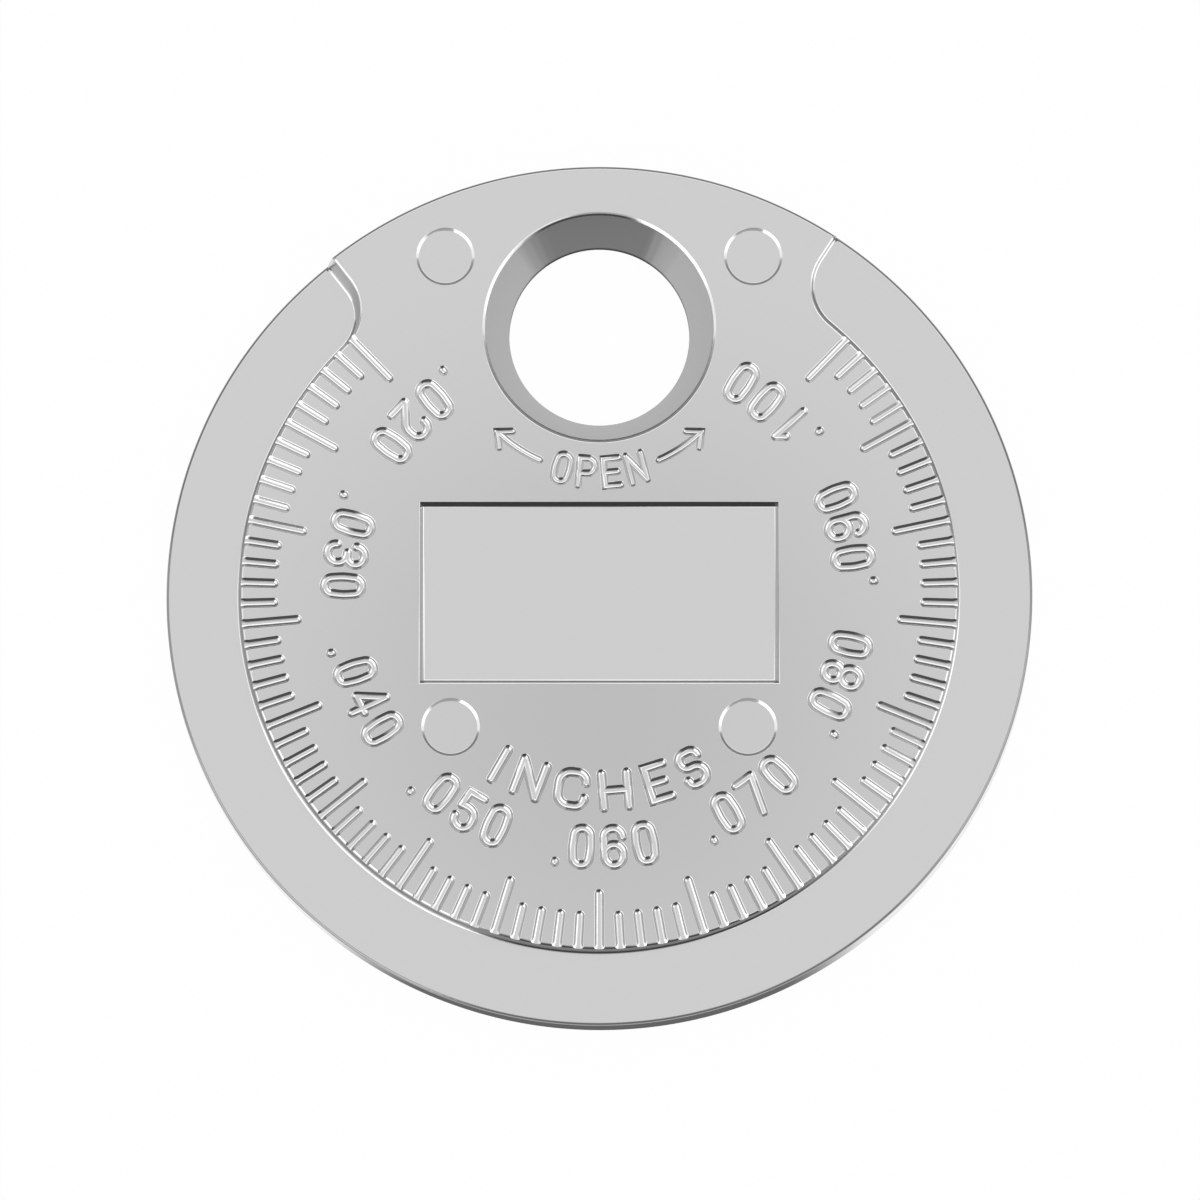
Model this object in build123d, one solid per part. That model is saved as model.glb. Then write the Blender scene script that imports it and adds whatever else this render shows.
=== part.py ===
from build123d import *
import math
import os

# Spark plug gap gauge: one cast disc whose rim is a ramp of growing thickness.
#
# The disc lies on its millimetre face, with its inch face up. X is to the right and Y is up
# when the inch face is read, and the origin is the middle of the lower face. Angles are in
# degrees, counter-clockwise from +X. The rim is thinned by the same amount on both faces, so
# the outer form is the same above and below the middle plane of the disc.

MM_PER_INCH = 25.4

# Disc
disc_diameter = 35.0
disc_thickness = 3.0
hub_diameter = 28.95         # upper edge of the step that the scales stand along
hub_draft = 5.0              # slope of the step's wall
hub_edge_break = 0.10        # small bevel along the edges of the full thickness

# Ramp: the thickness of the rim grows evenly from the first gap to the last
first_gap = 0.020 * MM_PER_INCH
last_gap = 0.100 * MM_PER_INCH
scale_span = 272.0           # angle between the first and the last inch mark
scale_middle = 270.0         # direction of the middle of the scale
run_out_thin = 5.9           # from the first mark to the edge of the full section
run_out_thick = 10.9         # from the last mark to the edge of the full section
rim_edge_break = 0.08        # small bevel along the outer edges of the ramp

# Full section, which carries the hole between the two ends of the ramp
end_draft = 12.0             # slope of the walls at its two ends
end_corner_radius = 1.5      # round in plan where such a wall runs into the hub

# Tapered hole, which also bends the side electrode of a plug
hole_offset = 10.9           # from the middle of the disc
hole_mouth_diameter = 9.27   # at the inch face
hole_land_diameter = 7.3     # short straight wall at the millimetre face
hole_land_height = 0.6
hole_edge_break = 0.08

# Sunk panel in the middle of the inch face
panel_width = 14.5
panel_height = 7.4
panel_depth = 0.4
panel_draft = 15.0
panel_offset = 0.05          # above the middle of the disc

# Round marks that the ejector pins leave on the inch face
pin_mark_diameter = 2.3
pin_mark_depth = 0.1
upper_pin_mark_place = (6.23, 13.8)
lower_pin_mark_place = (6.0, -5.45)

# Scale marks: grooves with sloping sides, open at the step
mark_width = 0.42            # at the face
mark_depth = 0.17
mark_draft = 30.0
short_mark_inner_radius = 12.95
long_mark_inner_radius = 12.05

# Inch scale on the upper face
inch_step = 0.001 * MM_PER_INCH
inch_steps_per_long_mark = 5

# Millimetre scale on the lower face
millimetre_step = 0.05
millimetre_steps_per_long_mark = 2

# Worked out from the values above
disc_radius = disc_diameter / 2
hub_radius = hub_diameter / 2
middle_height = disc_thickness / 2
first_mark_angle = scale_middle - scale_span / 2
last_mark_angle = scale_middle + scale_span / 2
thin_end_angle = first_mark_angle - run_out_thin
thick_end_angle = last_mark_angle + run_out_thick
gap_per_degree = (last_gap - first_gap) / scale_span
middle_plane = Plane.XY.offset(middle_height)
upper_plane = Plane.XY.offset(disc_thickness)

# How far a cutter reaches past the faces that it cuts through
over = 0.5

UPRIGHT = (Align.CENTER, Align.CENTER, Align.MIN)


def on_circle(radius, angle):
    """Point at a radius and a direction from the middle of the disc."""
    return Vector(radius, 0).rotate(Axis.Z, angle)


def gap_angle(gap):
    """Direction in which the ramp is as thick as the gap."""
    return first_mark_angle + (gap - first_gap) / gap_per_degree


def upper_half_disc(radius):
    """Plain disc from the middle plane to the upper face."""
    return middle_plane * Cylinder(radius, middle_height, align=UPRIGHT)


def upper_core():
    """Upper half of the hub and of the full section, with their sloping walls."""
    reach = disc_radius + 2
    middle_angle = (thin_end_angle + thick_end_angle - 360) / 2
    slice_corners = [
        (0, 0),
        on_circle(reach, thick_end_angle),
        on_circle(2 * reach, middle_angle),
        on_circle(reach, thin_end_angle),
    ]
    section = make_face(Polyline(*slice_corners, close=True))
    hub = extrude(upper_plane * Circle(hub_radius), amount=-middle_height, taper=-hub_draft)
    core = hub + extrude(upper_plane * section, amount=-middle_height, taper=-end_draft)
    steep = core.edges().filter_by(lambda edge: edge.bounding_box().size.Z > middle_height / 2)
    corners = steep.sort_by(lambda edge: edge.center().Y)[:2]
    core = fillet(corners, end_corner_radius) & upper_half_disc(disc_radius)
    rim_of_top = core.faces().sort_by(Axis.Z)[-1].outer_wire().edges()
    return chamfer(rim_of_top, hub_edge_break)


def upper_ramp():
    """Upper half of the rim between the two ends of the full section."""
    inner = hub_radius - over
    outer = disc_radius + over
    # The ramp runs on a little inside the full section
    into_section = 2.0
    start = thin_end_angle - into_section
    turn = thick_end_angle + into_section - start
    rise = gap_per_degree / 2
    path = Helix(pitch=360 * rise, height=turn * rise, radius=(inner + outer) / 2)
    profile = Plane.XZ * Pos((inner + outer) / 2, 0) * Rectangle(
        outer - inner, disc_thickness, align=(Align.CENTER, Align.MAX)
    )
    start_height = middle_height + (first_gap - (first_mark_angle - start) * gap_per_degree) / 2
    ramp = sweep(profile, path=path, is_frenet=True)
    ramp = Pos(0, 0, start_height) * Rot(0, 0, start) * ramp
    ramp = ramp & upper_half_disc(disc_radius)
    outer_edge = ramp.edges().filter_by(GeomType.BSPLINE).sort_by(lambda edge: edge.length)[-1]
    return chamfer(outer_edge, rim_edge_break)


def blank():
    """Whole outer form: both halves of the core and of the ramp."""
    upper = upper_core() + upper_ramp()
    return upper + mirror(upper, middle_plane)


def hole_cutter():
    """Tapered hole: a short straight wall at the lower face, then a cone to the mouth."""
    land_radius = hole_land_diameter / 2
    mouth_radius = hole_mouth_diameter / 2
    profile = Polyline(
        (0, 0),
        (land_radius, 0),
        (land_radius, hole_land_height),
        (mouth_radius, disc_thickness),
        (0, disc_thickness),
        close=True,
    )
    return Pos(0, hole_offset, 0) * revolve(Plane.XZ * make_face(profile), Axis.Z)


def panel_cutter():
    """Sunk panel, narrower at its floor than at the face."""
    mouth = upper_plane * Pos(0, panel_offset) * Rectangle(panel_width, panel_height)
    return extrude(mouth, amount=-panel_depth, taper=panel_draft)


def pin_mark_cutters():
    """Four shallow round marks, in two pairs that are mirror images of each other."""
    floor = Plane.XY.offset(disc_thickness - pin_mark_depth)
    places = [
        (side * x, y)
        for x, y in (upper_pin_mark_place, lower_pin_mark_place)
        for side in (1, -1)
    ]
    mark = Cylinder(pin_mark_diameter / 2, pin_mark_depth, align=UPRIGHT)
    return [floor * Pos(*place) * mark for place in places]


def scale_mark_cutter(inner_radius):
    """One groove of the upper scale, along +X, with sloping sides and a sloping inner end."""
    spread = mark_depth * math.tan(math.radians(mark_draft))
    floor_width = mark_width - 2 * spread
    start = inner_radius + spread
    length = hub_radius + over - start
    floor = Pos(start, 0) * Rectangle(length, floor_width, align=(Align.MIN, Align.CENTER))
    floor_plane = Plane.XY.offset(disc_thickness - mark_depth)
    return extrude(floor_plane * floor, amount=2 * mark_depth, taper=-mark_draft)


def scale_cutters(first_step, last_step, step, steps_per_long_mark):
    """Grooves at whole steps of the gap, each where the rim has that thickness."""
    short_mark = scale_mark_cutter(short_mark_inner_radius)
    long_mark = scale_mark_cutter(long_mark_inner_radius)
    cutters = []
    for count in range(first_step, last_step + 1):
        mark = short_mark if count % steps_per_long_mark else long_mark
        cutters.append(Rot(0, 0, gap_angle(count * step)) * mark)
    return cutters


def inch_scale_cutters():
    """Marks of the upper face, from the first gap to the last."""
    first_step = round(first_gap / inch_step)
    last_step = round(last_gap / inch_step)
    return scale_cutters(first_step, last_step, inch_step, inch_steps_per_long_mark)


def millimetre_scale_cutters():
    """Marks of the lower face, at the whole steps that lie inside the inch scale."""
    first_step = math.ceil(first_gap / millimetre_step)
    last_step = math.floor(last_gap / millimetre_step)
    marks = scale_cutters(
        first_step, last_step, millimetre_step, millimetre_steps_per_long_mark
    )
    return [mirror(mark, middle_plane) for mark in marks]


def gauge_disc():
    """The finished disc."""
    disc = blank() - hole_cutter()
    hole_edges = disc.edges().filter_by(GeomType.CIRCLE).filter_by(
        lambda edge: edge.arc_center.Y > hole_offset / 2
        and edge.bounding_box().size.Z < over
    )
    mouth_and_back = [hole_edges.sort_by(Axis.Z)[0], hole_edges.sort_by(Axis.Z)[-1]]
    disc = chamfer(mouth_and_back, hole_edge_break)
    disc -= [panel_cutter(), *pin_mark_cutters()]
    disc -= [*inch_scale_cutters(), *millimetre_scale_cutters()]
    return disc


os.makedirs("parts", exist_ok=True)
export_step(gauge_disc(), "parts/gauge_disc.step")
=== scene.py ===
import math
from collections import defaultdict

import bmesh
import bpy
import numpy as np
from bpy.props import FloatProperty, FloatVectorProperty, PointerProperty
from bpy.types import Operator, Panel, PropertyGroup
from mathutils import Matrix, Vector


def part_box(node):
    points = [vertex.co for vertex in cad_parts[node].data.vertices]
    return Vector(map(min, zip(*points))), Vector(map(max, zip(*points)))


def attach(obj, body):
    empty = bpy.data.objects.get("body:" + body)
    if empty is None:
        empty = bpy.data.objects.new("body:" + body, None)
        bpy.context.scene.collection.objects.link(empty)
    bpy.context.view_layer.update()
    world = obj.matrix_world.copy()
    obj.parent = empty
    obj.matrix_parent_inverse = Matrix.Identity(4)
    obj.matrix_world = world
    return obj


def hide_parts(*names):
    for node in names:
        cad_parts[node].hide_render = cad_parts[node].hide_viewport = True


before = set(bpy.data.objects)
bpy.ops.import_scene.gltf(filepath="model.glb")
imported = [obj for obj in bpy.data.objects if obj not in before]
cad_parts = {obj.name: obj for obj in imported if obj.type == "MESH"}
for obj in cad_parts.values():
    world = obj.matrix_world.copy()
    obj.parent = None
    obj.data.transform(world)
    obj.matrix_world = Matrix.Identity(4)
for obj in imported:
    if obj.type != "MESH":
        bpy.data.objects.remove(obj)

# Spark plug gap gauge: a coin-shaped die casting whose rim is a ramp of growing thickness.
#
# The frame gives the disc's outer size. The disc is made again here at full detail, with rounded
# edges, the scales, their figures and the words, and it stands for the frame's disc. Shapes are
# modelled in millimetres and are brought to metres when they are finished. X is to the right
# and Y is up on the inch face, and angles are counter-clockwise from +X.

bl_info = {
    "name": "Spark plug gap gauge",
    "version": (1, 0, 0),
    "blender": (4, 5, 0),
    "location": "View3D > Sidebar > Gap gauge",
    "description": "Makes a coin-shaped spark plug gap gauge, its plated finish and its studio",
    "category": "Add Mesh",
}

NODE = "gauge_disc"
DISC_NAME = "gauge_disc_finished"
MM = 0.001
INCH = 25.4

frame_low, frame_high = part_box(NODE)
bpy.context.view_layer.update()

# Sizes and colours that a user would change, in metres and radians

LENGTH = {"unit": "LENGTH", "precision": 5}
ANGLE = {"unit": "ROTATION"}
COLOUR = {"subtype": "COLOR", "size": 3, "min": 0, "max": 1}


def grey(value):
    """Neutral colour of a value."""
    return (value, value, value)


class DiscSizes(PropertyGroup):
    """Outer form of the disc."""

    diameter: FloatProperty(
        name="Diameter", description="Across the rim",
        default=frame_high[0] - frame_low[0], **LENGTH)
    thickness: FloatProperty(
        name="Thickness", description="Across the hub",
        default=frame_high[2] - frame_low[2], **LENGTH)
    hub_diameter: FloatProperty(
        name="Hub diameter", description="Upper edge of the step that the scales stand along",
        default=0.02895, **LENGTH)
    hub_draft: FloatProperty(
        name="Hub draft", description="Slope of the step's wall",
        default=math.radians(5), **ANGLE)
    end_draft: FloatProperty(
        name="End draft", description="Slope of the walls at the two ends of the ramp",
        default=math.radians(13), **ANGLE)
    end_corner_radius: FloatProperty(
        name="End corner radius", description="Round in plan between an end wall and the step",
        default=0.0020, **LENGTH)
    edge_round: FloatProperty(
        name="Edge round", description="Round along the edges of the full thickness",
        default=0.00014, **LENGTH)
    rim_round: FloatProperty(
        name="Rim round", description="Round along the outer edges", default=0.00013, **LENGTH)
    foot_round: FloatProperty(
        name="Foot round", description="Hollow round at the foot of the step",
        default=0.00012, **LENGTH)
    first_gap: FloatProperty(
        name="First gap", description="Thickness of the rim at the first inch mark",
        default=0.020 * INCH * MM, unit="LENGTH", precision=6)
    last_gap: FloatProperty(
        name="Last gap", description="Thickness of the rim at the last inch mark",
        default=0.100 * INCH * MM, unit="LENGTH", precision=6)
    first_angle: FloatProperty(
        name="First mark", description="Direction of the first inch mark",
        default=math.radians(134), **ANGLE)
    last_angle: FloatProperty(
        name="Last mark", description="Direction of the last inch mark",
        default=math.radians(406), **ANGLE)
    run_out_thin: FloatProperty(
        name="Thin run-out", description="From the first mark back to the full thickness",
        default=math.radians(5.9), **ANGLE)
    run_out_thick: FloatProperty(
        name="Thick run-out", description="From the last mark on to the full thickness",
        default=math.radians(10.9), **ANGLE)


class RecessSizes(PropertyGroup):
    """Hole, panel and ejector pin marks."""

    hole_offset: FloatProperty(
        name="Hole offset", description="From the middle of the disc", default=0.0109, **LENGTH)
    hole_mouth: FloatProperty(
        name="Hole mouth", description="Diameter at the inch face", default=0.00927, **LENGTH)
    hole_land: FloatProperty(
        name="Hole land", description="Diameter of the short straight wall",
        default=0.0073, **LENGTH)
    hole_land_height: FloatProperty(
        name="Hole land height", description="Height of the short straight wall",
        default=0.0006, **LENGTH)
    hole_edge_round: FloatProperty(
        name="Hole edge round", description="Round at both ends of the hole",
        default=0.00016, **LENGTH)
    panel_width: FloatProperty(
        name="Panel width", description="Sunk panel, at the face", default=0.0145, **LENGTH)
    panel_height: FloatProperty(
        name="Panel height", description="Sunk panel, at the face", default=0.0074, **LENGTH)
    panel_depth: FloatProperty(
        name="Panel depth", description="Below the face", default=0.0004, **LENGTH)
    panel_draft: FloatProperty(
        name="Panel draft", description="Slope of the panel's walls",
        default=math.radians(15), **ANGLE)
    panel_offset: FloatProperty(
        name="Panel offset", description="Above the middle of the disc",
        default=0.00005, **LENGTH)
    pin_diameter: FloatProperty(
        name="Pin mark diameter", description="Round marks of the ejector pins",
        default=0.0023, **LENGTH)
    pin_depth: FloatProperty(
        name="Pin mark depth", description="Below the face", default=0.0001, **LENGTH)


class EngravingSizes(PropertyGroup):
    """Grooves of the scales, figures and words."""

    groove_width: FloatProperty(
        name="Mark width", description="Scale marks, at the face", default=0.00040, **LENGTH)
    groove_depth: FloatProperty(
        name="Mark depth", description="Scale marks, below the face", default=0.00014, **LENGTH)
    short_mark_radius: FloatProperty(
        name="Short marks", description="Radius of their inner ends", default=0.01295, **LENGTH)
    long_mark_radius: FloatProperty(
        name="Long marks", description="Radius of their inner ends", default=0.01205, **LENGTH)
    stroke_width: FloatProperty(
        name="Stroke width", description="Scale figures, at the face", default=0.0004, **LENGTH)
    stroke_depth: FloatProperty(
        name="Stroke depth", description="Figures and words, below the face",
        default=0.00014, **LENGTH)
    figure_height: FloatProperty(
        name="Figure height", description="Scale figures, between stroke middles",
        default=0.00150, **LENGTH)
    figure_width: FloatProperty(
        name="Figure width", description="Scale figures, between stroke middles",
        default=0.00074, **LENGTH)


class FinishSettings(PropertyGroup):
    """Bright satin plating over a die casting, with painted highlights and painted shade."""

    plating_colour: FloatVectorProperty(
        name="Plating", description="Colour of the plating", default=grey(0.613), **COLOUR)
    # Painted shade on the lower half of the hub face
    hub_shade_colour: FloatVectorProperty(
        name="Dulled plating", description="Colour of the plating where the hub is handled most",
        default=grey(0.505), **COLOUR)
    # Painted shade in the tapered hole
    cone_shade_colour: FloatVectorProperty(
        name="Cone", description="Colour of the plating in the tapered hole",
        default=grey(0.46), **COLOUR)
    # Deeper painted shade on the far side of the cone
    cone_far_shade_colour: FloatVectorProperty(
        name="Far side of the cone", description="Colour on the side away from the disc's middle",
        default=grey(0.2), **COLOUR)
    shade_colour: FloatVectorProperty(
        name="Upper panel wall", description="Colour of the panel's wall below the hole",
        default=grey(0.012), **COLOUR)
    # Painted highlights on the slopes of grooves and edges
    painted_highlight_colour: FloatVectorProperty(
        name="Polished edges", description="Colour of grooves and edges, which are smoother",
        default=grey(0.84), **COLOUR)
    # Painted shade on steep slopes that face the lower edge
    painted_shade_colour: FloatVectorProperty(
        name="Grime", description="Colour of the steep walls that grime settles on",
        default=grey(0.13), **COLOUR)
    # Painted sheen on the outer side
    side_sheen_colour: FloatVectorProperty(
        name="Outer side", description="Colour of the outer side, which is polished by use",
        default=grey(0.74), **COLOUR)
    # Painted shade on the rounded outer edges
    rim_shading_colour: FloatVectorProperty(
        name="Outer edge", description="Colour of the rounded outer edges, which wear first",
        default=grey(0.3), **COLOUR)
    # Painted shade on upright walls
    wall_shade_colour: FloatVectorProperty(
        name="Walls", description="Colour of the plating on upright walls, which is thinner there",
        default=grey(0.45), **COLOUR)
    # Painted shade: less shine at a low angle on upright walls
    wall_shade_tint: FloatVectorProperty(
        name="Wall tint", description="Share of the shine that upright walls keep at a low angle",
        default=grey(0.6), **COLOUR)
    # Painted shade: less shine on the lower part of the side and on the hole's straight wall
    deep_shade_tint: FloatVectorProperty(
        name="Worn side tint", description="Share of the shine that worn parts of the side keep",
        default=grey(0.12), **COLOUR)
    roughness: FloatProperty(
        name="Roughness", description="Of the flat faces", default=0.17, min=0, max=1)
    cone_roughness: FloatProperty(
        name="Cone roughness", description="Of the tapered hole", default=0.42, min=0, max=1)
    grain_size: FloatProperty(
        name="Grain", description="Size of the casting's grain", default=0.0002, **LENGTH)


class StageSettings(PropertyGroup):
    """Floor, light and camera of a plain studio."""

    floor_colour: FloatVectorProperty(
        name="Floor", description="Colour of the floor", default=grey(0.9), **COLOUR)
    floor_white: FloatProperty(
        name="Floor white", description="Share of plain white in the floor, as it is seen",
        default=0.98, min=0, max=1, subtype="FACTOR")
    room_strength: FloatProperty(
        name="Room", description="Strength of the light from all round", default=1.0, min=0)
    overhead_strength: FloatProperty(
        name="Overhead box", description="Brightness of its face", default=0.15, min=0)
    camera_tilt: FloatProperty(
        name="Camera tilt", description="From straight above towards the lower edge",
        default=math.radians(8.77), **ANGLE)
    camera_distance: FloatProperty(
        name="Camera distance", description="From the inch face", default=1.0, unit="LENGTH")
    frame_width: FloatProperty(
        name="Frame width", description="What the picture spans at the inch face",
        default=0.04845, **LENGTH)
    aim: FloatVectorProperty(
        name="Aim", description="Point of the inch face in the middle of the picture",
        subtype="TRANSLATION", size=3, default=(0.000028, -0.000266, 0.003), precision=6)


# Helpers for meshes, whose lengths are in millimetres from here on

# How far the cutters reach past the disc
PAST = 1.0


def mm(length):
    """A length of the settings in millimetres."""
    return length / MM


def on_circle(radius, angle, height=0.0):
    """Point at a radius and a direction from the middle of the disc."""
    return Vector((radius * math.cos(angle), radius * math.sin(angle), height))


def new_object(mesh, name):
    """Object for a mesh, linked to the scene."""
    item = bpy.data.objects.new(name, mesh)
    bpy.context.scene.collection.objects.link(item)
    return item


def mesh_from(bm, name):
    """Mesh of a bmesh, which is freed."""
    mesh = bpy.data.meshes.new(name)
    bm.to_mesh(mesh)
    bm.free()
    return mesh


def close_shell(bm):
    """Merges doubles, closes open ends and turns all faces outwards."""
    bmesh.ops.remove_doubles(bm, verts=bm.verts, dist=1e-5)
    open_edges = [edge for edge in bm.edges if edge.is_boundary]
    if open_edges:
        bmesh.ops.holes_fill(bm, edges=open_edges, sides=0)
    bmesh.ops.recalc_face_normals(bm, faces=bm.faces)
    if bm.calc_volume(signed=True) < 0:
        bmesh.ops.reverse_faces(bm, faces=bm.faces)


def join(bm, part):
    """Adds one bmesh to another and frees it."""
    mesh = mesh_from(part, "part")
    bm.from_mesh(mesh)
    bpy.data.meshes.remove(mesh)


def split_into_triangles(mesh):
    """Turns the faces of a mesh into triangles, so that no face has a hole or a long outline."""
    bm = bmesh.new()
    bm.from_mesh(mesh)
    bmesh.ops.triangulate(bm, faces=bm.faces)
    bm.to_mesh(mesh)
    bm.free()


def cut(item, cutter):
    """Takes a bmesh away from an object's mesh."""
    if not all(edge.is_manifold for edge in cutter.edges):
        raise RuntimeError("a cutter of the disc isn't closed")
    bmesh.ops.triangulate(cutter, faces=cutter.faces)
    split_into_triangles(item.data)
    tool = new_object(mesh_from(cutter, "cutter"), "cutter")
    boolean = item.modifiers.new("cut", "BOOLEAN")
    boolean.operation = "DIFFERENCE"
    boolean.solver = "MANIFOLD"
    boolean.object = tool
    bpy.context.view_layer.objects.active = item
    bpy.ops.object.modifier_apply(modifier=boolean.name)
    bpy.data.meshes.remove(tool.data)


def chain(bm, points):
    """Open row of edges through some points."""
    verts = [bm.verts.new(point) for point in points]
    return verts, [bm.edges.new(pair) for pair in zip(verts, verts[1:])]


def in_ring(items):
    """Pairs of neighbours in a closed ring of items."""
    return zip(items, [*items[1:], items[0]])


def tube(bm, rings):
    """Tube through rings of points, made by extruding the first ring from one to the next."""
    verts = [bm.verts.new(point) for point in rings[0]]
    edges = [bm.edges.new(pair) for pair in in_ring(verts)]
    for ring in rings[1:]:
        bmesh.ops.extrude_edge_only(bm, edges=edges)
        raised = []
        for vert in verts:
            others = (edge.other_vert(vert) for edge in vert.link_edges)
            raised.append(next(
                other for other in others if other.co == vert.co and other not in verts))
        verts = raised
        for vert, point in zip(verts, ring):
            vert.co = point
        edges = [bm.edges.get(pair) for pair in in_ring(verts)]


def turned(profile, steps, place):
    """Closed shape that a profile makes by a full turn about an upright axis at a place."""
    bm = bmesh.new()
    verts, edges = chain(bm, profile)
    bmesh.ops.spin(
        bm, geom=verts + edges, cent=(0, 0, 0), axis=(0, 0, 1), angle=2 * math.pi, steps=steps,
        use_merge=True)
    bmesh.ops.translate(bm, verts=bm.verts, vec=place)
    close_shell(bm)
    return bm


# Disc and ramp


def rim_drop(radius, disc_radius, rim_round):
    """How far the rounded outer edge lies below the face at a radius. The arc ends short of
    upright, at 95% of its reach, and a straight slope carries it on past the disc."""
    into_round = min(max(radius - (disc_radius - rim_round), 0.0), 0.95 * rim_round)
    past_round = min(max(radius - (disc_radius - 0.05 * rim_round), 0.0), 0.06)
    return rim_round - math.sqrt(rim_round ** 2 - into_round ** 2) + 2 * past_round


def blank_disc(disc):
    """Plain disc with rounded outer edges."""
    bm = bmesh.new()
    bmesh.ops.create_circle(bm, cap_ends=True, segments=360, radius=mm(disc.diameter) / 2)
    raised = bmesh.ops.extrude_face_region(bm, geom=bm.faces[:])
    upper = [item for item in raised["geom"] if isinstance(item, bmesh.types.BMVert)]
    bmesh.ops.translate(bm, verts=upper, vec=(0, 0, mm(disc.thickness)))
    rims = [edge for edge in bm.edges if abs(edge.verts[0].co.z - edge.verts[1].co.z) < 1e-6]
    bmesh.ops.bevel(
        bm, geom=rims, offset=mm(disc.rim_round), affect="EDGES", segments=4, profile=0.5,
        material=-1)
    bmesh.ops.recalc_face_normals(bm, faces=bm.faces)
    return bm


def gap_angle(disc, gap):
    """Direction in which the rim is as thick as a gap."""
    share = (gap - disc.first_gap) / (disc.last_gap - disc.first_gap)
    return disc.first_angle + share * (disc.last_angle - disc.first_angle)


def ramp_height(disc, place):
    """Height of the ramp's upper face at a place in plan."""
    # The direction is counted on from the thin end of the ramp
    angle = math.atan2(place.y, place.x)
    while angle < (disc.first_angle + disc.last_angle) / 2 - math.pi:
        angle += 2 * math.pi
    share = (angle - disc.first_angle) / (disc.last_angle - disc.first_angle)
    gap = disc.first_gap + share * (disc.last_gap - disc.first_gap)
    return mm(disc.thickness + gap) / 2


def end_of_ramp(disc, end, side, corner_turn):
    """Stations of an end wall, from outside the rim to the corner, then of the corner itself."""
    corner = mm(disc.end_corner_radius)
    centre_radius = mm(disc.hub_diameter) / 2 + corner
    outside = mm(disc.diameter) / 2 + PAST
    inside = centre_radius * math.cos(corner_turn)
    walls = 9
    arcs = 14
    clear = math.radians(2.0)
    found = []
    for step in range(walls):
        radius = outside + (inside - outside) * step / walls
        away = on_circle(1, end + side * math.pi / 2)
        found.append((on_circle(radius, end), away, disc.end_draft))
    centre = on_circle(centre_radius, end + side * corner_turn)
    turn = math.pi / 2 - corner_turn
    for step in range(arcs + 1):
        ray = on_circle(1, end - side * math.pi / 2 - side * turn * step / arcs)
        draft = disc.end_draft + (disc.hub_draft - disc.end_draft) * step / arcs
        found.append((centre + corner * ray, -ray, draft))
    last = len(found) - 1
    return [
        (point, away, draft, end + side * (clear + (corner_turn - clear) * step / last))
        for step, (point, away, draft) in enumerate(found)
    ]


def ramp_stations(disc):
    """Plan of the step: for each place its point, the direction away from it, the slope of its
    wall and the direction in which the ramp's outer edge is met."""
    thin_end = disc.first_angle - disc.run_out_thin
    thick_end = disc.last_angle + disc.run_out_thick
    hub_radius = mm(disc.hub_diameter) / 2
    corner = mm(disc.end_corner_radius)
    corner_turn = math.asin(corner / (hub_radius + corner))
    stations = end_of_ramp(disc, thin_end, 1, corner_turn)
    start = thin_end + corner_turn
    turn = thick_end - corner_turn - start
    arcs = round(math.degrees(turn))
    for step in range(1, arcs):
        angle = start + turn * step / arcs
        ray = on_circle(1, angle)
        stations.append((hub_radius * ray, ray, disc.hub_draft, angle))
    return stations + end_of_ramp(disc, thick_end, -1, corner_turn)[::-1]


def ramp_section(disc, station):
    """Points of the channel's section at a station, from above the face down the step's wall
    and out over the ramp."""
    point, away, draft, outer_angle = station
    top = mm(disc.thickness)
    disc_radius = mm(disc.diameter) / 2
    edge = mm(disc.edge_round)
    foot = mm(disc.foot_round)
    rim_round = mm(disc.rim_round)
    wall_slope = math.pi / 2 - draft
    # Rounded upper edge: its arc ends on the wall's line, below the corner that it rounds
    overlap = 0.4
    flare = math.tan(math.radians(12))
    tangent = edge * math.tan(wall_slope / 2)
    start = point - tangent * away - overlap * away
    row = [start + Vector((0, 0, top + overlap * flare))]
    for slope in (*(math.radians(angle) for angle in (22, 45, 66)), wall_slope):
        out = -tangent + edge * math.sin(slope)
        down = edge * (1 - math.cos(slope))
        row.append(point + out * away + Vector((0, 0, top - down)))
    # Foot: a hollow round between the wall and the ramp, level with the ramp just beside it
    floor = ramp_height(disc, point + 0.3 * away)
    centre_out = (top - floor) * math.tan(draft) + foot * math.tan(wall_slope / 2)
    for slope in (wall_slope, math.radians(60), math.radians(38), math.radians(16), 0.0):
        up = foot * (1 - math.cos(slope))
        place = point + (centre_out - foot * math.sin(slope)) * away
        drop = rim_drop(place.xy.length, disc_radius, rim_round)
        row.append(place + Vector((0, 0, floor + up - drop)))
    # Ramp: straight out over the rim, with the rim's rounded edge. Where the wall is near the
    # rim, the points still follow each other at this distance
    apart = 0.02
    inner = (point + centre_out * away).xy
    outer = on_circle(disc_radius + 1.6, outer_angle).xy
    radii = [disc_radius - rim_round * share for share in (1.0, 0.7, 0.4, 0.15, 0.0)]
    radii = [disc_radius - 1.4, *radii, disc_radius + 0.04]
    places = [
        along_to_radius(inner, outer, max(radius, inner.length + apart * (count + 1)))
        for count, radius in enumerate(radii)
    ]
    for place in (*places, outer):
        drop = rim_drop(place.length, disc_radius, rim_round)
        row.append(Vector((place.x, place.y, ramp_height(disc, place) - drop)))
    row.append(Vector((outer.x, outer.y, top + PAST)))
    row.append(start + Vector((0, 0, top + PAST)))
    return row


def along_to_radius(inner, outer, radius):
    """Point between two others that lies at a radius from the middle of the disc."""
    step = outer - inner
    a = step.dot(step)
    b = 2 * inner.dot(step)
    c = inner.dot(inner) - radius * radius
    share = (-b + math.sqrt(b * b - 4 * a * c)) / (2 * a)
    return inner + share * step


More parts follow.
